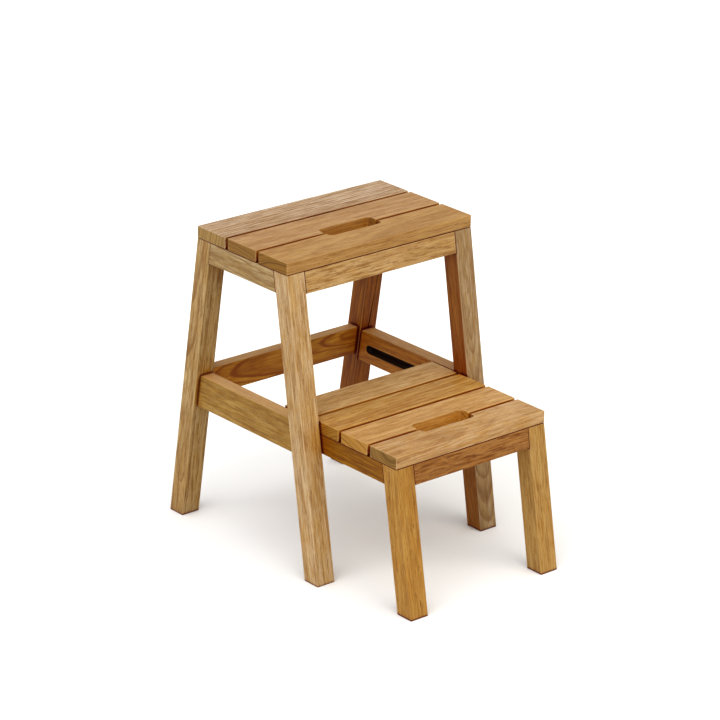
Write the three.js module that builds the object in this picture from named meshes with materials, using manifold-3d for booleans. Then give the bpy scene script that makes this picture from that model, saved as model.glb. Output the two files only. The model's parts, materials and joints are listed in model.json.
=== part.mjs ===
// Slatted wooden step stool with a lower step that slides out between its front legs.
// Millimetres, +Z up, front towards -Y. The origin is on the floor, under the centre of the
// stool's overall box with the step pulled out.
import * as THREE from 'three';
import { mergeVertices } from 'three/addons/utils/BufferGeometryUtils.js';
import Module from 'manifold-3d';

const wasm = await Module();
wasm.setup();

// ---- Driving dimensions ----
const HEIGHT = 480;
const STEP_HEIGHT = 241;
const TOP_LENGTH = 350;
const TOP_DEPTH = 210;
const SLAT_THICKNESS = 18.5;
const SLAT_GAP = 6;
const STOOL_SPLAY = Math.tan(THREE.MathUtils.degToRad(9.2));
const STEP_SPLAY = Math.tan(THREE.MathUtils.degToRad(9.8));
const LEG_WIDTH = 32;
const LEG_DEPTH = 31;

const STEP_SIDE_CLEARANCE = 1;
const STEP_LENGTH = TOP_LENGTH - 2 * (LEG_WIDTH + STEP_SIDE_CLEARANCE);
const STEP_SLAT_WIDTH = 58.5;
const STEP_SLAT_COUNT = 4;
const STEP_DEPTH = STEP_SLAT_COUNT * STEP_SLAT_WIDTH + (STEP_SLAT_COUNT - 1) * SLAT_GAP;
const STEP_REACH = 312;
const TOP_SLAT_COUNT = 3;

const APRON_THICKNESS = 20;
const APRON_HEIGHT = 33;
const STEP_RAIL_HEIGHT = 30;
const STEP_REAR_RAIL_THICKNESS = 12;

const SIDE_STRETCHER = { top: 240, height: 51, inset: 7, thickness: 23 };
const REAR_STRETCHER = { top: 245, height: 47, inset: 7, thickness: 19.5 };

const HAND_HOLE = { length: 98, width: 33, radius: 8, backset: 2 };
const TRAVEL = 170;
const GROOVE = { height: 13, depth: 11, z: 212.5, rear: 97 };

// ---- Joinery ----
const FIT = 0.3;
const TENON_LENGTH = 12;
const TENON_THICKNESS = 10;
const TENON_SHOULDER = 5;
const STRETCHER_TENON = { thickness: 8, outerInset: 8.5, shoulder: 8 };
const REAR_RAIL_TENON = { length: 6, thickness: 8 };

const SCREW = { headRadius: 4, crownRadius: 2.8, headHeight: 2.5, radius: 2, tip: 4, bite: 11 };
const SCREW_SEAT_DEPTH = 14;
const BOLT = { radius: 4, headRadius: 6, headHeight: 4, reach: 8 };
const ROLLER_LENGTH = 9.5;
const ROLLER_STANDOFF = 1;
const ROUND_SEGMENTS = 12;
const ARC_SEGMENTS = 8;
const OVERCUT = 1;
const WELD_DISTANCE = 1e-4;

// Where the screws stand: y along the side aprons and step rails, x along the tilted aprons.
const SIDE_APRON_SCREWS = { rear: 56, middle_rear: 18, middle_front: -18, front: -56 };
const STEP_RAIL_SCREWS = { 1: -100, 2: -153.75, 3: -218.25, 4: -267 };
const APRON_SCREW = { x: 80, inset: 7 };
const STEP_APRON_SCREW = { x: 70, inset: 7 };

// ---- Values worked out from the dimensions ----
const LEG_TOP = HEIGHT - SLAT_THICKNESS - FIT;
const STEP_LEG_TOP = STEP_HEIGHT - SLAT_THICKNESS - FIT;
const APRON_BOTTOM = LEG_TOP - APRON_HEIGHT;
const STEP_RAIL_BOTTOM = STEP_LEG_TOP - STEP_RAIL_HEIGHT;
const TOP_SLAT_WIDTH = (TOP_DEPTH - (TOP_SLAT_COUNT - 1) * SLAT_GAP) / TOP_SLAT_COUNT;
const STEP_REAR = STEP_DEPTH - STEP_REACH;
const LEG_INNER_X = TOP_LENGTH / 2 - LEG_WIDTH;
const STEP_LEG_INNER_X = STEP_LENGTH / 2 - LEG_WIDTH;
const STRETCHER_OUTER_X = TOP_LENGTH / 2 - SIDE_STRETCHER.inset;
const STRETCHER_INNER_X = STRETCHER_OUTER_X - SIDE_STRETCHER.thickness;
const PIN_Y = GROOVE.rear - GROOVE.height / 2 - TRAVEL;

// A splayed face seen from the side: y at the leg's top, that height, the way it faces, its slope.
const STOOL_FRONT = { edge: -TOP_DEPTH / 2, top: LEG_TOP, facing: -1, splay: STOOL_SPLAY };
const STOOL_REAR = { edge: TOP_DEPTH / 2, top: LEG_TOP, facing: 1, splay: STOOL_SPLAY };
const STEP_FRONT = { edge: -STEP_REACH, top: STEP_LEG_TOP, facing: -1, splay: STEP_SPLAY };

const rearFootY = faceY(STOOL_REAR, 0, 0);
const stepFootY = faceY(STEP_FRONT, 0, 0);
const ORIGIN_SHIFT = -(rearFootY + stepFootY) / 2;

// ---- Outlines in the side view, as [y, z] points ----

// y of a splayed face at height z, or of a line that lies `depth` behind it.
function faceY(face, z, depth) {
  return face.edge + face.facing * (face.splay * (face.top - z) - depth);
}

// The strip between two depths behind a splayed face: a leg, a tilted apron or its tenon.
function splayedStrip(face, zLow, zHigh, nearDepth, farDepth) {
  return [
    [faceY(face, zLow, nearDepth), zLow],
    [faceY(face, zLow, farDepth), zLow],
    [faceY(face, zHigh, farDepth), zHigh],
    [faceY(face, zHigh, nearDepth), zHigh],
  ];
}

// The space between a front and a rear leg, carried `reach` into each of them.
function spanBetweenLegs(zLow, zHigh, reach) {
  const depth = LEG_DEPTH - reach;
  return [
    [faceY(STOOL_FRONT, zLow, depth), zLow],
    [faceY(STOOL_REAR, zLow, depth), zLow],
    [faceY(STOOL_REAR, zHigh, depth), zHigh],
    [faceY(STOOL_FRONT, zHigh, depth), zHigh],
  ];
}

// The step's side rail, from its leg back to a square end.
function spanBehindStepLeg(zLow, zHigh, reach, rearY) {
  const depth = LEG_DEPTH - reach;
  return [
    [faceY(STEP_FRONT, zLow, depth), zLow],
    [rearY, zLow],
    [rearY, zHigh],
    [faceY(STEP_FRONT, zHigh, depth), zHigh],
  ];
}

function rectangle(yLow, yHigh, zLow, zHigh) {
  return [[yLow, zLow], [yHigh, zLow], [yHigh, zHigh], [yLow, zHigh]];
}

// ---- Geometry ----

function shapeOf(points) {
  return new THREE.Shape(points.map(([u, v]) => new THREE.Vector2(u, v)));
}

// Extrudes a side-view outline, a list of points or a Shape, from one X to the other.
function alongX(outline, xA, xB) {
  const shape = outline instanceof THREE.Shape ? outline : shapeOf(outline);
  const depth = Math.abs(xB - xA);
  const settings = { depth, bevelEnabled: false, curveSegments: ARC_SEGMENTS };
  const geometry = new THREE.ExtrudeGeometry(shape, settings);
  const sideView = new THREE.Matrix4().makeBasis(
    new THREE.Vector3(0, 1, 0),
    new THREE.Vector3(0, 0, 1),
    new THREE.Vector3(1, 0, 0),
  );
  return geometry.applyMatrix4(sideView).translate(Math.min(xA, xB), 0, 0);
}

// Extrudes a plan outline upwards.
function alongZ(shape, zLow, zHigh) {
  const settings = { depth: zHigh - zLow, bevelEnabled: false, curveSegments: ARC_SEGMENTS };
  return new THREE.ExtrudeGeometry(shape, settings).translate(0, 0, zLow);
}

function verticalCylinder(x, y, zLow, zHigh, radius) {
  const height = zHigh - zLow;
  return new THREE.CylinderGeometry(radius, radius, height, ROUND_SEGMENTS)
    .rotateX(Math.PI / 2)
    .translate(x, y, zLow + height / 2);
}

function crossCylinder(xA, xB, y, z, radius) {
  const length = Math.abs(xB - xA);
  return new THREE.CylinderGeometry(radius, radius, length, ROUND_SEGMENTS)
    .rotateZ(Math.PI / 2)
    .translate((xA + xB) / 2, y, z);
}

// ---- Joining and cutting ----

function toSolid(geometry) {
  const bare = geometry.clone();
  bare.deleteAttribute('normal');
  bare.deleteAttribute('uv');
  const merged = mergeVertices(bare, WELD_DISTANCE);
  return new wasm.Manifold(new wasm.Mesh({
    numProp: 3,
    vertProperties: new Float32Array(merged.attributes.position.array),
    triVerts: new Uint32Array(merged.index.array),
  }));
}

function toGeometry(solid) {
  const mesh = solid.getMesh();
  const geometry = new THREE.BufferGeometry();
  geometry.setAttribute('position', new THREE.BufferAttribute(mesh.vertProperties, 3));
  geometry.setIndex(new THREE.BufferAttribute(mesh.triVerts, 1));
  geometry.computeVertexNormals();
  return geometry;
}

function combine(body, additions, cuts) {
  let solid = toSolid(body);
  for (const piece of additions) {
    solid = solid.add(toSolid(piece));
  }
  for (const piece of cuts) {
    solid = solid.subtract(toSolid(piece));
  }
  return toGeometry(solid);
}

// ---- Materials and the assembly ----

const stool = new THREE.Group();
stool.position.y = ORIGIN_SHIFT;

const WOOD = { top: 0xbf8f52, frame: 0xb58650, stepTop: 0xba8645, inner: 0xa06c34 };
const STEEL = 0xb9b9b4;
const STEEL_ROUGHNESS = 0.3;
const NYLON = 0x1c1a18;

function addPiece(name, geometry, color, roughness = 0.55, metalness = 0) {
  const material = new THREE.MeshStandardMaterial({ color, roughness, metalness });
  const mesh = new THREE.Mesh(geometry, material);
  mesh.name = name;
  stool.add(mesh);
}

const SIDES = [['left', -1], ['right', 1]];

// ---- Tenons, grown by FIT where they are cut as mortises ----

function crossTenon(face, zLow, zHigh, nearDepth, farDepth, halfLength, grow) {
  const outline = splayedStrip(face, zLow - grow, zHigh + grow, nearDepth - grow, farDepth + grow);
  return alongX(outline, -halfLength - grow, halfLength + grow);
}

function apronTenon(face, bottom, top, legInnerX, grow) {
  const near = (APRON_THICKNESS - TENON_THICKNESS) / 2;
  const zLow = bottom + TENON_SHOULDER;
  const zHigh = top - TENON_SHOULDER;
  return crossTenon(face, zLow, zHigh, near, near + TENON_THICKNESS, legInnerX + TENON_LENGTH, grow);
}

function rearStretcherTenon(grow) {
  const near = REAR_STRETCHER.inset + (REAR_STRETCHER.thickness - TENON_THICKNESS) / 2;
  const zLow = REAR_STRETCHER.top - REAR_STRETCHER.height + TENON_SHOULDER;
  const zHigh = REAR_STRETCHER.top - TENON_SHOULDER;
  const halfLength = LEG_INNER_X + TENON_LENGTH;
  return crossTenon(STOOL_REAR, zLow, zHigh, near, near + TENON_THICKNESS, halfLength, grow);
}

function sideTenon(outline, side, outerX, thickness, grow) {
  return alongX(outline, side * (outerX + grow), side * (outerX - thickness - grow));
}

function sideApronTenon(side, grow) {
  const zLow = APRON_BOTTOM + TENON_SHOULDER - grow;
  const zHigh = LEG_TOP - TENON_SHOULDER + grow;
  const outerX = TOP_LENGTH / 2 - TENON_SHOULDER;
  return sideTenon(spanBetweenLegs(zLow, zHigh, TENON_LENGTH + grow), side, outerX, TENON_THICKNESS, grow);
}

function sideStretcherTenon(side, grow) {
  const zLow = SIDE_STRETCHER.top - SIDE_STRETCHER.height + STRETCHER_TENON.shoulder - grow;
  const zHigh = SIDE_STRETCHER.top - STRETCHER_TENON.shoulder + grow;
  const outerX = TOP_LENGTH / 2 - STRETCHER_TENON.outerInset;
  const outline = spanBetweenLegs(zLow, zHigh, TENON_LENGTH + grow);
  return sideTenon(outline, side, outerX, STRETCHER_TENON.thickness, grow);
}

function stepRailTenon(side, grow) {
  const zLow = STEP_RAIL_BOTTOM + TENON_SHOULDER - grow;
  const zHigh = STEP_LEG_TOP - TENON_SHOULDER + grow;
  const outline = spanBehindStepLeg(zLow, zHigh, TENON_LENGTH + grow, -STEP_REACH + LEG_DEPTH + SLAT_GAP);
  return sideTenon(outline, side, STEP_LENGTH / 2 - TENON_SHOULDER, TENON_THICKNESS, grow);
}

function stepRearRailTenon(grow) {
  const middle = STEP_REAR - STEP_REAR_RAIL_THICKNESS / 2;
  const half = REAR_RAIL_TENON.thickness / 2 + grow;
  const zLow = STEP_RAIL_BOTTOM + TENON_SHOULDER - grow;
  const zHigh = STEP_LEG_TOP - TENON_SHOULDER + grow;
  const halfLength = STEP_LENGTH / 2 - APRON_THICKNESS + REAR_RAIL_TENON.length + grow;
  return alongX(rectangle(middle - half, middle + half, zLow, zHigh), -halfLength, halfLength);
}

// ---- Screws, driven upwards through aprons and rails into the slats ----

function screwPlan() {
  const plan = [];
  const apronMiddleX = TOP_LENGTH / 2 - APRON_THICKNESS / 2;
  const railMiddleX = STEP_LENGTH / 2 - APRON_THICKNESS / 2;
  const apronY = TOP_DEPTH / 2 - APRON_SCREW.inset;
  const stepApronY = STEP_APRON_SCREW.inset - STEP_REACH;
  for (const [label, side] of SIDES) {
    for (const [row, y] of Object.entries(SIDE_APRON_SCREWS)) {
      const name = `top_screw_${label}_${row}`;
      plan.push({ name, host: `apron_${label}`, x: side * apronMiddleX, y, top: true });
    }
    for (const [row, y] of Object.entries(STEP_RAIL_SCREWS)) {
      const name = `step_screw_${label}_${row}`;
      plan.push({ name, host: `step_rail_${label}`, x: side * railMiddleX, y, top: false });
    }
    for (const [row, y] of [['front', -apronY], ['rear', apronY]]) {
      const name = `apron_screw_${row}_${label}`;
      plan.push({ name, host: `apron_${row}`, x: side * APRON_SCREW.x, y, top: true });
    }
    const name = `step_apron_screw_${label}`;
    plan.push({ name, host: 'step_apron_front', x: side * STEP_APRON_SCREW.x, y: stepApronY, top: false });
  }
  return plan;
}

const SCREWS = screwPlan();

function screwLevels(screw) {
  const underside = screw.top ? APRON_BOTTOM : STEP_RAIL_BOTTOM;
  const slatUnderside = (screw.top ? HEIGHT : STEP_HEIGHT) - SLAT_THICKNESS;
  return { underside, seat: underside + SCREW_SEAT_DEPTH, tip: slatUnderside + SCREW.bite };
}

function screwHoles(host) {
  const holes = [];
  for (const screw of SCREWS.filter((entry) => entry.host === host)) {
    const { underside, seat, tip } = screwLevels(screw);
    holes.push(verticalCylinder(screw.x, screw.y, underside - OVERCUT, seat, SCREW.headRadius + 2 * FIT));
    holes.push(verticalCylinder(screw.x, screw.y, seat - OVERCUT, tip, SCREW.radius + FIT));
  }
  return holes;
}

function pilotHoles(isTop, yLow, yHigh) {
  const inSlat = SCREWS.filter((entry) => entry.top === isTop && entry.y > yLow && entry.y < yHigh);
  return inSlat.map((screw) => {
    const { seat, tip } = screwLevels(screw);
    return verticalCylinder(screw.x, screw.y, seat, tip + FIT, SCREW.radius + FIT);
  });
}

function screwGeometry(screw) {
  const { seat, tip } = screwLevels(screw);
  const top = seat - FIT;
  const profile = [
    [0, top - SCREW.headHeight],
    [SCREW.crownRadius, top - SCREW.headHeight],
    [SCREW.headRadius, top - SCREW.headHeight / 2],
    [SCREW.headRadius, top],
    [SCREW.radius, top],
    [SCREW.radius, tip - SCREW.tip],
    [0, tip],
  ].map(([radius, z]) => new THREE.Vector2(radius, z));
  return new THREE.LatheGeometry(profile, ROUND_SEGMENTS)
    .rotateX(Math.PI / 2)
    .translate(screw.x, screw.y, 0);
}

function addScrews() {
  for (const screw of SCREWS) {
    addPiece(screw.name, screwGeometry(screw), STEEL, STEEL_ROUGHNESS, 1);
  }
}

// ---- Slats ----

// Plan of a slat; `notch` is +1 or -1 where the hand-hole cuts its rear or front edge.
function slatPlan(length, yLow, yHigh, notch, holeY) {
  const half = length / 2;
  const reach = HAND_HOLE.length / 2;
  const r = HAND_HOLE.radius;
  const shape = new THREE.Shape();
  shape.moveTo(-half, yLow);
  if (notch < 0) {
    const bottom = holeY + HAND_HOLE.width / 2;
    shape.lineTo(-reach, yLow);
    shape.absarc(-reach + r, bottom - r, r, Math.PI, Math.PI / 2, true);
    shape.absarc(reach - r, bottom - r, r, Math.PI / 2, 0, true);
    shape.lineTo(reach, yLow);
  }
  shape.lineTo(half, yLow);
  shape.lineTo(half, yHigh);
  if (notch > 0) {
    const bottom = holeY - HAND_HOLE.width / 2;
    shape.lineTo(reach, yHigh);
    shape.absarc(reach - r, bottom + r, r, 0, -Math.PI / 2, true);
    shape.absarc(-reach + r, bottom + r, r, -Math.PI / 2, -Math.PI, true);
    shape.lineTo(-reach, yHigh);
  }
  shape.lineTo(-half, yHigh);
  shape.closePath();
  return shape;
}

// One deck of slats, from its rear edge forwards. The hand-hole straddles the last gap.
function addDeck(names, deck) {
  const lastGapY = deck.rear - (names.length - 1) * (deck.slatWidth + SLAT_GAP) + SLAT_GAP / 2;
  const holeY = lastGapY + HAND_HOLE.backset;
  names.forEach((name, index) => {
    const yHigh = deck.rear - index * (deck.slatWidth + SLAT_GAP);
    const yLow = yHigh - deck.slatWidth;
    const isFront = index === names.length - 1;
    const isBehindHole = index === names.length - 2;
    const notch = isFront ? 1 : isBehindHole ? -1 : 0;
    const plan = slatPlan(deck.length, yLow, yHigh, notch, holeY);
    const board = alongZ(plan, deck.height - SLAT_THICKNESS, deck.height);
    addPiece(name, combine(board, [], pilotHoles(deck.isTop, yLow, yHigh)), deck.color);
  });
}

// ---- Stool frame ----

function addStoolLegs() {
  for (const [row, face] of [['front', STOOL_FRONT], ['rear', STOOL_REAR]]) {
    for (const [label, side] of SIDES) {
      const outline = splayedStrip(face, 0, LEG_TOP, 0, LEG_DEPTH);
      const leg = alongX(outline, side * LEG_INNER_X, side * TOP_LENGTH / 2);
      const mortises = [
        apronTenon(face, APRON_BOTTOM, LEG_TOP, LEG_INNER_X, FIT),
        sideApronTenon(side, FIT),
        sideStretcherTenon(side, FIT),
      ];
      if (row === 'rear') {
        mortises.push(rearStretcherTenon(FIT));
      }
      addPiece(`leg_${row}_${label}`, combine(leg, [], mortises), WOOD.frame);
    }
  }
}

function addStoolAprons() {
  for (const [row, face] of [['front', STOOL_FRONT], ['rear', STOOL_REAR]]) {
    const outline = splayedStrip(face, APRON_BOTTOM, LEG_TOP, 0, APRON_THICKNESS);
    const board = alongX(outline, FIT - LEG_INNER_X, LEG_INNER_X - FIT);
    const tenon = apronTenon(face, APRON_BOTTOM, LEG_TOP, LEG_INNER_X, 0);
    addPiece(`apron_${row}`, combine(board, [tenon], screwHoles(`apron_${row}`)), WOOD.frame);
  }
  for (const [label, side] of SIDES) {
    const outline = spanBetweenLegs(APRON_BOTTOM, LEG_TOP, -FIT);
    const board = alongX(outline, side * (TOP_LENGTH / 2 - APRON_THICKNESS), side * TOP_LENGTH / 2);
    const name = `apron_${label}`;
    addPiece(name, combine(board, [sideApronTenon(side, 0)], screwHoles(name)), WOOD.frame);
  }
}

function grooveCutter(side) {
  const r = GROOVE.height / 2;
  const shape = new THREE.Shape();
  shape.absarc(GROOVE.rear - r, GROOVE.z, r, -Math.PI / 2, Math.PI / 2, false);
  shape.absarc(PIN_Y, GROOVE.z, r, Math.PI / 2, -Math.PI / 2, false);
  shape.closePath();
  return alongX(shape, side * (STRETCHER_INNER_X - OVERCUT), side * (STRETCHER_INNER_X + GROOVE.depth));
}

function addStretchers() {
  const bottom = SIDE_STRETCHER.top - SIDE_STRETCHER.height;
  for (const [label, side] of SIDES) {
    const outline = spanBetweenLegs(bottom, SIDE_STRETCHER.top, -FIT);
    const board = alongX(outline, side * STRETCHER_INNER_X, side * STRETCHER_OUTER_X);
    const geometry = combine(board, [sideStretcherTenon(side, 0)], [grooveCutter(side)]);
    addPiece(`side_stretcher_${label}`, geometry, WOOD.inner);
  }
  const { top, height, inset, thickness } = REAR_STRETCHER;
  const rearOutline = splayedStrip(STOOL_REAR, top - height, top, inset, inset + thickness);
  const rearBoard = alongX(rearOutline, FIT - LEG_INNER_X, LEG_INNER_X - FIT);
  addPiece('rear_stretcher', combine(rearBoard, [rearStretcherTenon(0)], []), WOOD.inner);
}

// ---- Step frame ----

function addStepLegs() {
  for (const [label, side] of SIDES) {
    const outline = splayedStrip(STEP_FRONT, 0, STEP_LEG_TOP, 0, LEG_DEPTH);
    const leg = alongX(outline, side * STEP_LEG_INNER_X, side * STEP_LENGTH / 2);
    const mortises = [
      apronTenon(STEP_FRONT, STEP_RAIL_BOTTOM, STEP_LEG_TOP, STEP_LEG_INNER_X, FIT),
      stepRailTenon(side, FIT),
    ];
    addPiece(`step_leg_${label}`, combine(leg, [], mortises), WOOD.frame);
  }
}

function addStepRails() {
  const boltHole = BOLT.radius + FIT;
  for (const [label, side] of SIDES) {
    const innerX = STEP_LENGTH / 2 - APRON_THICKNESS;
    const outline = spanBehindStepLeg(STEP_RAIL_BOTTOM, STEP_LEG_TOP, -FIT, STEP_REAR);
    const board = alongX(outline, side * innerX, side * STEP_LENGTH / 2);
    const name = `step_rail_${label}`;
    const cuts = screwHoles(name);
    cuts.push(stepRearRailTenon(FIT));
    const holeStart = side * (innerX - OVERCUT);
    const holeEnd = side * (STEP_LENGTH / 2 + OVERCUT);
    cuts.push(crossCylinder(holeStart, holeEnd, PIN_Y, GROOVE.z, boltHole));
    addPiece(name, combine(board, [stepRailTenon(side, 0)], cuts), WOOD.frame);
  }
  const frontOutline = splayedStrip(STEP_FRONT, STEP_RAIL_BOTTOM, STEP_LEG_TOP, 0, APRON_THICKNESS);
  const apron = alongX(frontOutline, FIT - STEP_LEG_INNER_X, STEP_LEG_INNER_X - FIT);
  const tenon = apronTenon(STEP_FRONT, STEP_RAIL_BOTTOM, STEP_LEG_TOP, STEP_LEG_INNER_X, 0);
  addPiece('step_apron_front', combine(apron, [tenon], screwHoles('step_apron_front')), WOOD.frame);

  const railHalf = STEP_LENGTH / 2 - APRON_THICKNESS - FIT;
  const rearFront = STEP_REAR - STEP_REAR_RAIL_THICKNESS;
  const rearOutline = rectangle(rearFront, STEP_REAR, STEP_RAIL_BOTTOM, STEP_LEG_TOP);
  const rearRail = alongX(rearOutline, -railHalf, railHalf);
  addPiece('step_rail_rear', combine(rearRail, [stepRearRailTenon(0)], []), WOOD.inner);
}

// ---- Guides: a bolt through each step rail carries a roller that runs in the groove ----

function addGuides() {
  const rollerInner = STRETCHER_INNER_X + ROLLER_STANDOFF;
  const rollerOuter = rollerInner + ROLLER_LENGTH;
  const rollerRadius = GROOVE.height / 2 - FIT;
  const shankEnd = rollerInner + BOLT.reach;
  const headX = STEP_LENGTH / 2 - APRON_THICKNESS - FIT;
  for (const [label, side] of SIDES) {
    const shank = crossCylinder(side * (headX - OVERCUT), side * shankEnd, PIN_Y, GROOVE.z, BOLT.radius);
    const headStart = side * (headX - BOLT.headHeight);
    const head = crossCylinder(headStart, side * headX, PIN_Y, GROOVE.z, BOLT.headRadius);
    addPiece(`guide_bolt_${label}`, combine(head, [shank], []), STEEL, STEEL_ROUGHNESS, 1);

    const roller = crossCylinder(side * rollerInner, side * rollerOuter, PIN_Y, GROOVE.z, rollerRadius);
    const boreStart = side * (rollerInner - OVERCUT);
    const boreEnd = side * (shankEnd + FIT);
    const bore = crossCylinder(boreStart, boreEnd, PIN_Y, GROOVE.z, BOLT.radius + FIT);
    addPiece(`guide_roller_${label}`, combine(roller, [], [bore]), NYLON);
  }
}

addDeck(['top_slat_rear', 'top_slat_middle', 'top_slat_front'], {
  rear: TOP_DEPTH / 2,
  slatWidth: TOP_SLAT_WIDTH,
  length: TOP_LENGTH,
  height: HEIGHT,
  isTop: true,
  color: WOOD.top,
});
addStoolLegs();
addStoolAprons();
addStretchers();
addDeck(['step_slat_1', 'step_slat_2', 'step_slat_3', 'step_slat_4'], {
  rear: STEP_REAR,
  slatWidth: STEP_SLAT_WIDTH,
  length: STEP_LENGTH,
  height: STEP_HEIGHT,
  isTop: false,
  color: WOOD.stepTop,
});
addStepLegs();
addStepRails();
addGuides();
addScrews();

const part = new THREE.Group();
part.add(stool);

export default part;
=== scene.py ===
"""Looks for the slatted teak step stool: every board is a bevelled piece with its own teak.

All lengths are metres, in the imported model's frame. Each board is cut from its CAD node's shape, gets
eased edges, and is turned into its own grain frame: local X along the grain, local Z through the
thickness. Its material is a solid texture of growth rings in that frame, so long grain and end grain
of one board always agree.
"""
import json
import math

import bmesh
import bpy
from mathutils import Matrix, Vector


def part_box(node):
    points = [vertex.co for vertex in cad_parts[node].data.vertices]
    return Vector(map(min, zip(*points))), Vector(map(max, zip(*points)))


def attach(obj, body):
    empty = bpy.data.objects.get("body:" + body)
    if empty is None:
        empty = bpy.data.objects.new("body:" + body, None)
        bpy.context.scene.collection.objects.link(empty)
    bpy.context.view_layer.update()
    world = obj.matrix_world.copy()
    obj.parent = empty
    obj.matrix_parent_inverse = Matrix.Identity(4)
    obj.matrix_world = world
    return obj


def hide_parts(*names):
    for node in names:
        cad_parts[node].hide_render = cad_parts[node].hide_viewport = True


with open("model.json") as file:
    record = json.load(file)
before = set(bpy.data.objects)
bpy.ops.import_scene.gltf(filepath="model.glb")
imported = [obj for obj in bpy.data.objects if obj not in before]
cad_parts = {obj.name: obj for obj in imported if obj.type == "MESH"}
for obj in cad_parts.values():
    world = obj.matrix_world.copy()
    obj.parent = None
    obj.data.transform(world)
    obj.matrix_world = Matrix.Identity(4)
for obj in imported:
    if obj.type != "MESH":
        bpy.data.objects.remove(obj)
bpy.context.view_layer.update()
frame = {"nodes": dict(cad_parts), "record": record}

MM = 0.001
# Turns a place in metres into millimetres.
TO_MM = (1000, 1000, 1000)
STOOL_SPLAY = math.radians(9.2)
STEP_SPLAY = math.radians(9.8)

# Widths and steps of the rounded edges.
BOARD_EASE = (1.1 * MM, 3)
RIM_EASE = (0.3 * MM, 2)
STEEL_EASE = (0.25 * MM, 2)
NYLON_EASE = (0.4 * MM, 2)
# An edge is sharp when its two faces turn by more than this.
SHARP_ANGLE = math.radians(50)
# Vertices closer than this are one, and faces flatter than this are one.
SAME_PLACE = 0.005 * MM
SAME_PLANE = math.radians(1)
# A hand hole's rims lie this near to the middle; they are only just broken.
HAND_HOLE_REACH = 50 * MM
# A groove's depth, and the least distances from a stretcher's ends and edges to it.
GROOVE_DEPTH = 11 * MM
GROOVE_FROM_FRONT = 60 * MM
GROOVE_FROM_REAR = 20 * MM
GROOVE_FROM_EDGE = 5 * MM
GROOVE_MARGIN = 0.2 * MM
GROOVE_SLACK = 0.5 * MM


def srgb(red, green, blue):
    """A display colour, 0 to 255, as the linear colour that shaders use."""
    def linear(value):
        value /= 255
        return value / 12.92 if value <= 0.04045 else ((value + 0.055) / 1.055) ** 2.4
    return (linear(red), linear(green), linear(blue), 1.0)


# ---- Node helper -------------------------------------------------------------------------------

OPENNESS_SAMPLES = 8


class Nodes:
    """Builds a material's node tree: each call adds one node and returns its main output."""

    def __init__(self, name):
        self.material = bpy.data.materials.new(name)
        self.material.use_nodes = True
        self.tree = self.material.node_tree
        self.tree.nodes.clear()

    def add(self, kind, output=0, inputs=None, **settings):
        node = self.tree.nodes.new(kind)
        for key, value in settings.items():
            setattr(node, key, value)
        for key, value in (inputs or {}).items():
            if isinstance(value, bpy.types.NodeSocket):
                self.tree.links.new(value, node.inputs[key])
            else:
                node.inputs[key].default_value = value
        return node.outputs[output]

    def math(self, operation, a, b=0.0, c=0.0, clamp=False):
        return self.add("ShaderNodeMath", 0, {0: a, 1: b, 2: c}, operation=operation, use_clamp=clamp)

    def times(self, a, b):
        return self.math("MULTIPLY", a, b)

    def plus(self, a, b, clamp=False):
        return self.math("ADD", a, b, clamp=clamp)

    def scaled(self, vector, scale):
        return self.add("ShaderNodeVectorMath", 0, {0: vector, 1: scale}, operation="MULTIPLY")

    def noise(self, vector, detail=2.0, roughness=0.5):
        return self.add("ShaderNodeTexNoise", "Fac", {
            "Vector": vector, "Scale": 1.0, "Detail": detail, "Roughness": roughness,
            "Distortion": 0.0}, noise_dimensions="3D")

    def triple(self, x, y, z):
        return self.add("ShaderNodeCombineXYZ", 0, {0: x, 1: y, 2: z})

    def axis(self, vector, letter):
        return self.add("ShaderNodeSeparateXYZ", letter, {0: vector})

    def attribute(self, name):
        return self.add("ShaderNodeAttribute", "Fac", attribute_name=name)

    def openness(self, reach):
        """1 in the open, towards 0 where other surfaces stand within reach."""
        return self.add("ShaderNodeAmbientOcclusion", "AO", {"Distance": reach},
                        samples=OPENNESS_SAMPLES, only_local=False)

    def ramp(self, value, stops):
        """Maps a value to the given (position, grey) stops, with straight lines between."""
        output = self.add("ShaderNodeValToRGB", 0, {0: value})
        band = output.node.color_ramp
        band.interpolation = "LINEAR"
        while len(band.elements) < len(stops):
            band.elements.new(0.5)
        for element, (position, grey) in zip(band.elements, stops):
            element.position = position
            element.color = (grey, grey, grey, 1.0)
        return output

    def span(self, value, low, high):
        """0 at low, 1 at high, smooth between and flat outside; low may be the larger one."""
        return self.add("ShaderNodeMapRange", 0, {0: value, 1: low, 2: high, 3: 0.0, 4: 1.0},
                        interpolation_type="SMOOTHSTEP")

    def mix(self, factor, a, b, blend="MIX"):
        node = self.tree.nodes.new("ShaderNodeMix")
        node.data_type = "RGBA"
        node.blend_type = blend
        for socket, value in ((node.inputs[0], factor), (node.inputs[6], a), (node.inputs[7], b)):
            if isinstance(value, bpy.types.NodeSocket):
                self.tree.links.new(value, socket)
            else:
                socket.default_value = value
        return node.outputs[2]

    def tint(self, color, shares):
        return self.mix(1.0, color, shares, "MULTIPLY")

    def finish(self, shader):
        output = self.tree.nodes.new("ShaderNodeOutputMaterial")
        self.tree.links.new(shader, output.inputs["Surface"])
        return self.material


# ---- Teak --------------------------------------------------------------------------------------

# Shades of one board, as shares of its own red, green and blue.
LIGHT = (1.16, 1.22, 1.36)
MIDDLE = (0.99, 0.97, 0.92)
GOLD = (0.90, 0.74, 0.36)
DARK = (0.46, 0.31, 0.13)
RED = (0.50, 0.20, 0.07)
PORE = (0.26, 0.12, 0.06)
END = (0.70, 0.60, 0.32)
END_RING = (0.30, 0.24, 0.12)
END_FIBRE = (0.36, 0.28, 0.16)

# Colours that are the same on every board: painted light for upward faces, and painted shade for joints, the
# groove and gaps.
PAINTED_TOP_LIGHT = srgb(205, 165, 118)
JOINT_SHADE = srgb(76, 6, 6)
GROOVE_SHADE = srgb(12, 7, 6)
GAP_SHADE_TINT = (0.46, 0.06, 0.05, 1.0)
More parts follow.
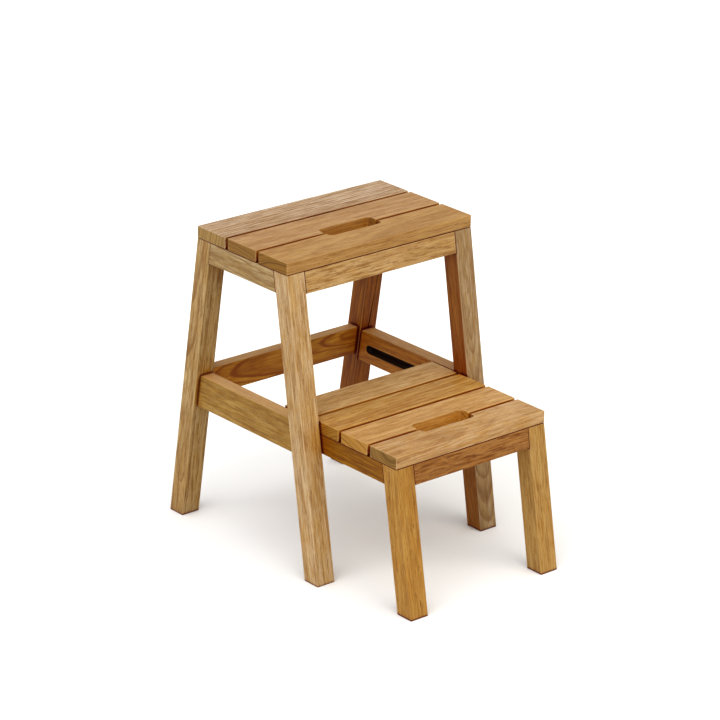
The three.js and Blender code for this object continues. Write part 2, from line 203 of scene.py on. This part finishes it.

# How near other wood must be for a face to get painted shade for shelter, for a gap, or for a joint.
SHELTER_REACH = 160 * MM
GAP_REACH = 18 * MM
JOINT_REACH = 4 * MM
# Shelter counts in full from this height up.
SHELTER_HEIGHT = 160 * MM

# Roughness of the oiled wood, and how much its fibres and ends add and its worn edges take away.
WOOD_ROUGHNESS = 0.42
FIBRE_ROUGHNESS = 0.22
END_ROUGHNESS = 0.14
EDGE_POLISH = 0.08
WOOD_SPECULAR = 0.15
RELIEF_DEPTH = 0.12 * MM

# Darkness over one growth ring, from pale earlywood to dark latewood.
RING_STOPS = [(0.0, 0.9), (0.12, 0.05), (0.40, 0.10), (0.70, 0.45), (0.90, 1.0), (1.0, 0.9)]
# The rings' spacing varies by this many rings, at this rate per millimetre.
RING_PACE = 3.0
RING_PACE_RATE = 0.09
# Through the thickness, the pith line wanders by this share of what it does across the width.
WANDER_THROUGH = 0.6
# How far apart, in millimetres, the noises of two boards are taken.
SEED_STEP = (37.1, 91.7, 53.3)

# Noises drawn out along the grain: changes per millimetre along and across it, detail, roughness.
GRAIN_NOISES = {
    "sway": (0.006, 0.02, 2.0, 0.5),
    "bend": (0.011, 0.035, 3.0, 0.55),
    "fibre": (0.022, 0.8, 5.0, 0.7),
    "hair": (0.07, 3.6, 3.0, 0.6),
    "streak": (0.024, 0.30, 6.0, 0.75),
    "band": (0.0035, 0.08, 3.0, 0.55),
    "patch": (0.009, 0.022, 2.0, 0.5),
    "mottle": (0.035, 0.16, 4.0, 0.6),
    "figure": (0.006, 0.075, 3.0, 0.55),
    "pore": (0.06, 0.42, 3.0, 0.7),
}


def tinted(wood, shares):
    return (*(channel * share for channel, share in zip(wood, shares)), 1.0)


def grain_noises(n, grain, seed):
    offset = tuple(seed * step for step in SEED_STEP)
    shifted = n.add("ShaderNodeVectorMath", 0, {0: grain, 1: offset}, operation="ADD")
    return {
        name: n.noise(n.scaled(shifted, (along, across, across)), detail, roughness)
        for name, (along, across, detail, roughness) in GRAIN_NOISES.items()}


def growth_rings(n, grain, noise, look):
    """Rings about a pith line that lies outside most boards and drifts along them.

    Returns the darkness within each ring, and the same with faint and strong rings.
    """
    x, y, z = (n.axis(grain, letter) for letter in "XYZ")
    pith_y, pith_z = look["pith"]
    drift_y, drift_z = look["drift"]
    off_y = n.math("MULTIPLY_ADD", x, -drift_y, -pith_y)
    off_z = n.math("MULTIPLY_ADD", x, -drift_z, -pith_z)
    ring_y = n.plus(n.plus(y, off_y), n.times(noise["sway"], look["wander"]))
    ring_z = n.plus(n.plus(z, off_z), n.times(noise["bend"], look["wander"] * WANDER_THROUGH))
    radius = n.math("SQRT", n.plus(n.times(ring_y, ring_y), n.times(ring_z, ring_z)))
    pace = n.noise(n.triple(n.times(radius, RING_PACE_RATE), look["seed"], 0.0), 2.0)
    phase = n.plus(n.math("DIVIDE", radius, look["ring"]), n.times(pace, RING_PACE))
    latewood = n.ramp(n.math("FRACT", phase), RING_STOPS)
    strength = n.noise(n.triple(n.math("FLOOR", phase), look["seed"], 3.3), 0.0)
    return latewood, n.times(latewood, n.span(strength, 0.25, 0.55))


def long_grain(n, wood, noise, rings, pores, look):
    """The colour of a board's long faces."""
    light, middle, gold, dark, red, pore = (
        tinted(wood, shares) for shares in (LIGHT, MIDDLE, GOLD, DARK, RED, PORE))
    tone = n.math("MULTIPLY_ADD", n.math("SUBTRACT", noise["band"], 0.5), 3.6, 0.5)
    tone = n.plus(tone, n.times(n.math("SUBTRACT", noise["patch"], 0.5), look["patchy"]), clamp=True)
    color = n.mix(tone, light, middle)
    for amount, shade in (
            (n.times(n.span(noise["mottle"], 0.46, 0.62), look["gold"]), gold),
            (n.times(n.span(noise["figure"], 0.50, 0.68), look["flame"]), red),
            (n.times(n.span(noise["streak"], 0.50, 0.60), look["streaks"]), dark),
            (n.times(n.span(noise["streak"], 0.49, 0.38), look["streaks"] * 0.7), light),
            (n.times(rings, look["rings"]), n.mix(look["flame"], dark, red)),
            (n.times(n.span(noise["fibre"], 0.50, 0.62), 0.5), dark),
            (n.times(n.span(noise["hair"], 0.48, 0.68), 0.35), dark),
            (n.times(pores, look["pores"]), pore)):
        color = n.mix(amount, color, shade)
    return color


def end_grain(n, wood, noise, rings, look):
    """The colour of a board's ends, which drink more oil."""
    plain = tinted(wood, [share * look["end"] for share in END])
    ringed = n.mix(n.times(rings, 0.9), plain, tinted(wood, END_RING))
    return n.mix(n.times(n.span(noise["hair"], 0.45, 0.7), 0.5), ringed, tinted(wood, END_FIBRE))


def painted_light_and_shade(n, color, wood, normal, hair, edge, look):
    """Adds painted shade and painted light to the bare wood's colour."""
    # Faces towards the inside of the stool get painted shade: their colour is tinted redder and deeper.
    facing_in = n.add(
        "ShaderNodeVectorMath", "Value", {0: normal, 1: look["inside"]}, operation="DOT_PRODUCT")
    color = n.mix(n.span(facing_in, 0.4, 0.8), color, n.tint(color, look["inner"]))

    # Painted shade: faces with other wood near them are tinted darker and redder; the floor doesn't count, so
    # this fades out towards the feet.
    height = n.axis(n.add("ShaderNodeNewGeometry", "Position"), "Z")
    sheltered_shade = n.times(n.span(n.openness(SHELTER_REACH), 0.95, 0.40), n.span(height, 0.0, SHELTER_HEIGHT))
    color = n.mix(sheltered_shade, color, n.tint(color, look["sheltered_shade"]))

    # Upward faces of some boards get painted light: a paler colour.
    upward = n.axis(n.add("ShaderNodeNewGeometry", "Normal"), "Z")
    lit_top = n.mix(n.times(n.span(hair, 0.35, 0.75), 0.6), PAINTED_TOP_LIGHT, color)
    color = n.mix(n.times(n.span(upward, 0.7, 0.95), look["top_light"]), color, lit_top)

    # Open edges get a painted highlight, and joints and gaps get dark red painted shade.
    joint = n.openness(JOINT_REACH)
    highlit_edge = n.times(edge, n.span(joint, 0.85, 1.0))
    color = n.mix(n.times(highlit_edge, 0.35), color, tinted(wood, LIGHT))
    # Gaps between boards get reddish painted shade.
    gap_shade = n.times(n.span(n.openness(GAP_REACH), 0.62, 0.34), look["crease_shade"])
    color = n.mix(gap_shade, color, n.tint(color, GAP_SHADE_TINT))
    # Joints get dark red painted shade lines.
    color = n.mix(n.times(n.span(joint, 1.0, 0.80), look["crease_shade"]), color, JOINT_SHADE)
    # The groove's inside gets nearly black painted shade.
    return n.mix(n.times(n.attribute("groove"), 0.93), color, GROOVE_SHADE)


def teak(name, look):
    """Oiled teak for one board. Lengths inside are millimetres in the board's grain frame."""
    n = Nodes(name)
    wood = srgb(*look["wood"])
    normal = n.add("ShaderNodeTexCoord", "Normal")
    grain = n.scaled(n.add("ShaderNodeTexCoord", "Object"), TO_MM)
    noise = grain_noises(n, grain, look["seed"])
    latewood, rings = growth_rings(n, grain, noise, look)
    pores = n.times(n.span(noise["pore"], 0.58, 0.68), n.math("MULTIPLY_ADD", latewood, 0.6, 0.4))
    end = n.span(n.math("ABSOLUTE", n.axis(normal, "X")), 0.55, 0.9)
    edge = n.attribute("edge")

    bare = n.mix(end, long_grain(n, wood, noise, rings, pores, look), end_grain(n, wood, noise, rings, look))
    color = painted_light_and_shade(n, bare, wood, normal, noise["hair"], edge, look)

    rough = n.math("MULTIPLY_ADD", noise["hair"], FIBRE_ROUGHNESS, WOOD_ROUGHNESS)
    rough = n.plus(rough, n.times(end, END_ROUGHNESS))
    rough = n.math("SUBTRACT", rough, n.times(edge, EDGE_POLISH), clamp=True)
    relief = n.plus(n.times(noise["fibre"], 0.5), n.times(noise["hair"], 0.35))
    relief = n.math("SUBTRACT", relief, n.times(pores, 0.8))
    relief = n.math("SUBTRACT", relief, n.times(rings, 0.25))
    bump = n.add("ShaderNodeBump", 0, {"Strength": 0.55, "Distance": RELIEF_DEPTH, "Height": relief})
    shader = n.add("ShaderNodeBsdfPrincipled", 0, {
        "Base Color": color, "Roughness": rough, "Normal": bump, "Specular IOR Level": WOOD_SPECULAR})
    return n.finish(shader)


def steel(name):
    """Turned stainless steel with fine concentric scratches."""
    n = Nodes(name)
    place = n.scaled(n.add("ShaderNodeTexCoord", "Object"), TO_MM)
    scratch = n.noise(n.scaled(place, (6.0, 6.0, 0.8)), 3.0, 0.6)
    smear = n.noise(n.scaled(place, (0.4, 0.4, 0.4)), 2.0, 0.5)
    color = n.mix(smear, srgb(150, 148, 143), srgb(188, 187, 182))
    rough = n.math("MULTIPLY_ADD", scratch, 0.22, 0.22)
    bump = n.add("ShaderNodeBump", 0, {"Strength": 0.3, "Distance": 0.03 * MM, "Height": scratch})
    shader = n.add("ShaderNodeBsdfPrincipled", 0, {
        "Base Color": color, "Roughness": rough, "Normal": bump, "Metallic": 1.0})
    return n.finish(shader)


def nylon(name):
    """Black moulded nylon, lightly scuffed."""
    n = Nodes(name)
    place = n.scaled(n.add("ShaderNodeTexCoord", "Object"), TO_MM)
    scuff = n.noise(n.scaled(place, (0.9, 0.9, 0.9)), 4.0, 0.6)
    grit = n.noise(n.scaled(place, (7.0, 7.0, 7.0)), 2.0, 0.5)
    color = n.mix(n.span(scuff, 0.45, 0.75), srgb(20, 19, 18), srgb(46, 43, 40))
    rough = n.math("MULTIPLY_ADD", scuff, 0.3, 0.35)
    bump = n.add("ShaderNodeBump", 0, {"Strength": 0.25, "Distance": 0.05 * MM, "Height": grit})
    shader = n.add("ShaderNodeBsdfPrincipled", 0, {"Base Color": color, "Roughness": rough, "Normal": bump})
    return n.finish(shader)


# ---- Boards ------------------------------------------------------------------------------------

# A look before a board's own changes. "wood" is a display colour, "inside" is the direction of the inward
# faces in the board's grain frame, "pith" and "ring" are millimetres, and most others are strengths.
BASE_LOOK = {
    "wood": (160, 122, 80),
    # The shelter and inward-face tints and the crease strength below are painted shade; the upward-face
    # strength is painted light.
    "sheltered_shade": (1.06, 0.76, 0.16, 1.0),
    "inside": (0.0, 0.0, 0.0),
    "inner": (1.20, 0.96, 0.38, 1.0),
    "crease_shade": 0.94,
    "top_light": 0.0,
    "end": 1.0,
    "patchy": 1.6,
    "pith": (60.0, 90.0),
    "drift": (0.03, 0.02),
    "ring": 4.2,
    "wander": 9.0,
    "rings": 0.6,
    "streaks": 0.5,
    "gold": 0.5,
    "flame": 0.15,
    "pores": 0.6,
}

ALONG_X = Vector((1, 0, 0))
ALONG_Y = Vector((0, 1, 0))


def leg_axis(splay, facing):
    """Up along a leg whose foot leans out to the front (facing -1) or to the rear (facing 1)."""
    return Vector((0, -facing * math.sin(splay), math.cos(splay)))


def board_entries():
    """Every board: its node, grain direction and what sets its look apart."""
    return {
        "top_slat_rear": (ALONG_X, {
            "wood": (164, 142, 116), "pith": (150, 40), "ring": 6.5, "wander": 4, "rings": 0.95,
            "streaks": 0.8, "gold": 0.3, "end": 1.1}),
        "top_slat_middle": (ALONG_X, {
            "wood": (156, 124, 84), "pith": (30, -160), "rings": 0.3, "streaks": 0.35, "gold": 0.3}),
        "top_slat_front": (ALONG_X, {
            "wood": (153, 119, 71), "pith": (-20, -130), "rings": 0.3, "streaks": 0.3, "gold": 0.3,
            "end": 0.95}),
        "leg_front_left": (leg_axis(STOOL_SPLAY, -1), {
            "wood": (170, 145, 109), "pith": (-160, 60), "rings": 0.3, "streaks": 0.6, "gold": 0.6,
            "crease_shade": 0.6}),
        # This leg's inner and shelter tints are strong painted shade.
        "leg_front_right": (leg_axis(STOOL_SPLAY, -1), {
            "wood": (145, 123, 91), "pith": (4, 34), "drift": (0, -0.11), "ring": 3.6, "rings": 0.6,
            "wander": 7, "streaks": 0.4, "flame": 0.3, "inside": (0, 1, -1),
            "inner": (0.94, 0.56, 0.17, 1.0), "sheltered_shade": (0.85, 0.46, 0.08, 1.0)}),
        "leg_rear_left": (leg_axis(STOOL_SPLAY, 1), {
            "wood": (156, 131, 89), "pith": (-46, 12), "drift": (0.05, 0.04), "ring": 7, "wander": 16,
            "rings": 0.75, "streaks": 0.7, "flame": 0.2, "crease_shade": 0.6, "patchy": 3.0}),
        # This leg's inner tint is strong painted shade.
        "leg_rear_right": (leg_axis(STOOL_SPLAY, 1), {
            "wood": (146, 106, 58), "pith": (-70, 40), "ring": 6, "rings": 0.8, "streaks": 0.6, "flame": 0.5,
            "inside": (0, -1, -1), "inner": (0.75, 0.51, 0.055, 1.0)}),
        "apron_front": (ALONG_X, {
            "wood": (160, 130, 86), "pith": (20, -140), "rings": 0.3, "streaks": 0.7, "gold": 0.4,
            "pores": 0.8}),
        "apron_rear": (ALONG_X, {"wood": (146, 106, 58), "pith": (-40, 90)}),
        "apron_left": (ALONG_Y, {
            "wood": (154, 133, 96), "pith": (110, 60), "ring": 5, "rings": 0.6, "streaks": 0.6}),
        "apron_right": (ALONG_Y, {"wood": (146, 106, 58), "pith": (-90, 60)}),
        "side_stretcher_left": (ALONG_Y, {
            "wood": (143, 113, 57), "pith": (150, 20), "ring": 7, "wander": 14, "rings": 0.4, "streaks": 0.6,
            "gold": 0.7, "crease_shade": 0.4, "top_light": 0.55}),
        "side_stretcher_right": (ALONG_Y, {
            "wood": (140, 103, 54), "pith": (90, -40), "ring": 6, "rings": 0.5, "streaks": 0.6, "flame": 0.3,
            "top_light": 0.35, "inside": (0, 1, 0)}),
        "rear_stretcher": (ALONG_X, {
            "wood": (149, 115, 60), "pith": (-34, 8), "drift": (0.11, 0.05), "ring": 8, "wander": 10,
            "rings": 0.95, "streaks": 0.5, "flame": 0.55, "top_light": 0.35, "inside": (0, -1, 0)}),
        "step_slat_1": (ALONG_X, {
            "wood": (172, 141, 95), "pith": (40, -150), "rings": 0.3, "streaks": 0.5, "crease_shade": 0.6}),
        "step_slat_2": (ALONG_X, {
            "wood": (165, 130, 74), "pith": (-60, -120), "rings": 0.4, "streaks": 0.4, "flame": 0.25,
            "gold": 0.8}),
        "step_slat_3": (ALONG_X, {
            "wood": (170, 135, 87), "pith": (60, -140), "rings": 0.3, "streaks": 0.4, "gold": 0.4,
            "end": 1.3}),
        "step_slat_4": (ALONG_X, {
            "wood": (169, 138, 97), "pith": (-8, 42), "drift": (0.02, 0.08), "ring": 8, "wander": 10,
            "rings": 0.4, "streaks": 0.35, "gold": 0.6, "patchy": 3.0, "end": 0.75}),
        "step_leg_left": (leg_axis(STEP_SPLAY, -1), {
            "wood": (154, 117, 57), "pith": (120, 50), "rings": 0.25, "streaks": 0.4, "pores": 0.9}),
        "step_leg_right": (leg_axis(STEP_SPLAY, -1), {
            "wood": (155, 124, 72), "pith": (-110, 40), "rings": 0.3, "streaks": 0.5}),
        "step_rail_left": (ALONG_Y, {"wood": (128, 86, 8), "pith": (80, 50), "streaks": 0.6}),
        "step_rail_right": (ALONG_Y, {"wood": (140, 98, 48), "pith": (-80, 50)}),
        "step_apron_front": (ALONG_X, {
            "wood": (135, 94, 47), "pith": (-30, 60), "drift": (0.06, 0.05), "ring": 9, "wander": 16,
            "rings": 0.45, "streaks": 0.9, "gold": 0.7, "patchy": 5.0}),
        "step_rail_rear": (ALONG_X, {"wood": (140, 98, 48), "pith": (40, 80)}),
    }


def middle_of(node):
    low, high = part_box(node)
    return (Vector(low) + Vector(high)) / 2


def grain_frame(node, grain):
    """A matrix with its origin at the board's middle and its X along the grain."""
    side = ALONG_X if abs(grain.x) < 0.5 else ALONG_Y
    normal = grain.cross(side).normalized()
    if normal.z < 0:
        normal = -normal
    width = normal.cross(grain).normalized()
    return Matrix.Translation(middle_of(node)) @ Matrix((grain, width, normal)).transposed().to_4x4()


def convex_edges(bm):
    return [e for e in bm.edges if e.is_manifold and e.calc_face_angle_signed(0) > SHARP_ANGLE]


def round_edges(bm, edges, ease):
    width, segments = ease
    return bmesh.ops.bevel(bm, geom=edges, offset=width, offset_type="OFFSET", segments=segments,
                           profile=0.5, affect="EDGES", clamp_overlap=False)["faces"]


def ease_edges(mesh, ease):
    """Merges the CAD triangles into whole faces and rounds every convex sharp edge."""
    bm = bmesh.new()
    bm.from_mesh(mesh)
    bmesh.ops.remove_doubles(bm, verts=bm.verts, dist=SAME_PLACE)
    bmesh.ops.dissolve_limit(bm, angle_limit=SAME_PLANE, verts=bm.verts, edges=bm.edges)
    # Bevel faces are marked for their lower roughness from wear and for a painted highlight.
    worn_and_highlit = bm.faces.layers.float.new("edge")
    rims = [e for e in convex_edges(bm) if all(abs(v.co.x) < HAND_HOLE_REACH for v in e.verts)]
    if rims:
        round_edges(bm, rims, RIM_EASE)
    for face in round_edges(bm, convex_edges(bm), ease):
        face[worn_and_highlit] = 1.0
    for face in bm.faces:
        face.smooth = True
    bm.to_mesh(mesh)
    bm.free()


def paint_groove(mesh, node):
    """Marks the faces inside a stretcher's groove, which get nearly black painted shade."""
    low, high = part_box(node)
    inner = high[0] if high[0] < 0 else low[0]
    marks = mesh.attributes.new("groove", "FLOAT", "FACE")
    for face, mark in zip(mesh.polygons, marks.data):
        x, y, z = face.center
        into = inner - x if inner < 0 else x - inner
        deep = GROOVE_MARGIN < into < GROOVE_DEPTH + GROOVE_SLACK
        along = low[1] + GROOVE_FROM_FRONT < y < high[1] - GROOVE_FROM_REAR
        level = low[2] + GROOVE_FROM_EDGE < z < high[2] - GROOVE_FROM_EDGE
        mark.value = 1.0 if deep and along and level else 0.0


def body_of(node):
    for body, members in frame["record"]["behaviour"]["bodies"].items():
        if node in members:
            return body


def make_piece(node, basis, material, ease):
    """The visible piece for one CAD node, with its own axes and eased edges."""
    mesh = frame["nodes"][node].data.copy()
    mesh.name = f"{node}_mesh"
    ease_edges(mesh, ease)
    if node.startswith("side_stretcher"):
        paint_groove(mesh, node)
    mesh.transform(basis.inverted())
    mesh.materials.clear()
    mesh.materials.append(material)
    piece = bpy.data.objects.new(f"{node}_piece", mesh)
    bpy.context.scene.collection.objects.link(piece)
    piece.matrix_world = basis
    weighted = piece.modifiers.new("weighted_normals", "WEIGHTED_NORMAL")
    weighted.weight = 100
    bpy.context.view_layer.update()
    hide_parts(node)
    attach(piece, body_of(node))


def build_boards():
    for index, (node, (grain, changes)) in enumerate(board_entries().items()):
        look = dict(BASE_LOOK, seed=index + 1.0)
        look.update(changes)
        material = teak(f"teak_{node}", look)
        make_piece(node, grain_frame(node, grain), material, BOARD_EASE)


def build_hardware():
    steel_finish = steel("stainless_steel")
    nylon_finish = nylon("black_nylon")
    for node in frame["nodes"]:
        if "screw" in node or "guide_bolt" in node:
            make_piece(node, Matrix.Translation(middle_of(node)), steel_finish, STEEL_EASE)
        elif "guide_roller" in node:
            make_piece(node, Matrix.Translation(middle_of(node)), nylon_finish, NYLON_EASE)


# ---- Studio ------------------------------------------------------------------------------------

LIGHT_DISTANCE = 3
FLOOR_HALF_WIDTH = 30
FLOOR_GREY = 0.75
WORLD_STRENGTH = 0.8
WHITE = (1.0, 1.0, 1.0)
WARM = (1.0, 0.92, 0.70)

# Where the camera stands, which way it looks (degrees), and its lens and sensor (millimetres).
CAMERA_PLACE = (-2.91048, -3.43895, 2.05031)
CAMERA_YAW = 40.04
CAMERA_PITCH = 21.40
CAMERA_ROLL = -0.71
CAMERA_LENS = 163.8
CAMERA_SENSOR = 36.0
CAMERA_REACH = 100.0


def make_floor():
    bm = bmesh.new()
    bmesh.ops.create_grid(bm, x_segments=1, y_segments=1, size=FLOOR_HALF_WIDTH)
    mesh = bpy.data.meshes.new("floor_mesh")
    bm.to_mesh(mesh)
    bm.free()
    floor = bpy.data.objects.new("floor", mesh)
    n = Nodes("floor_paper")
    shader = n.add("ShaderNodeBsdfPrincipled", 0, {
        "Base Color": (FLOOR_GREY, FLOOR_GREY, FLOOR_GREY, 1.0), "Roughness": 0.9, "Specular IOR Level": 0.0})
    mesh.materials.append(n.finish(shader))
    bpy.context.scene.collection.objects.link(floor)


def make_light(name, azimuth, elevation, spread, strength, color):
    """A soft, distant panel: azimuth 0 is in front, 90 to the left; spread is its width, in degrees."""
    data = bpy.data.lights.new(name, "SUN")
    data.energy = strength
    data.color = color
    data.angle = math.radians(spread)
    light = bpy.data.objects.new(name, data)
    turn, lift = math.radians(azimuth), math.radians(elevation)
    place = Vector((-math.sin(turn) * math.cos(lift), -math.cos(turn) * math.cos(lift), math.sin(lift)))
    light.rotation_euler = place.to_track_quat("Z", "Y").to_euler()
    light.location = place * LIGHT_DISTANCE
    bpy.context.scene.collection.objects.link(light)


def make_studio():
    scene = bpy.context.scene
    scene.view_settings.view_transform = "Standard"
    scene.view_settings.look = "Medium High Contrast"
    world = bpy.data.worlds.new("studio")
    world.use_nodes = True
    background = world.node_tree.nodes["Background"]
    background.inputs["Color"].default_value = (*WHITE, 1.0)
    background.inputs["Strength"].default_value = WORLD_STRENGTH
    scene.world = world
    make_light("overhead", azimuth=40, elevation=64, spread=70, strength=1.3, color=WHITE)
    make_light("front", azimuth=-15, elevation=33, spread=60, strength=0.85, color=WARM)
    make_light("left", azimuth=80, elevation=35, spread=60, strength=0.95, color=WHITE)
    make_floor()


def make_camera():
    """A long lens, 40 degrees round to the left of the front and looking 21 degrees down."""
    yaw, pitch, roll = (math.radians(angle) for angle in (CAMERA_YAW, CAMERA_PITCH, CAMERA_ROLL))
    data = bpy.data.cameras.new("camera")
    data.lens = CAMERA_LENS
    data.sensor_width = CAMERA_SENSOR
    data.clip_end = CAMERA_REACH
    camera = bpy.data.objects.new("camera", data)
    ahead = Vector((math.sin(yaw) * math.cos(pitch), math.cos(yaw) * math.cos(pitch), -math.sin(pitch)))
    level = Vector((math.cos(yaw), -math.sin(yaw), 0))
    down = ahead.cross(level)
    right = math.cos(roll) * level + math.sin(roll) * down
    up = math.sin(roll) * level - math.cos(roll) * down
    turn = Matrix((right, up, -ahead)).transposed().to_4x4()
    camera.matrix_world = Matrix.Translation(CAMERA_PLACE) @ turn
    bpy.context.scene.collection.objects.link(camera)
    bpy.context.scene.camera = camera


build_boards()
build_hardware()
make_studio()
make_camera()

bpy.context.view_layer.update()
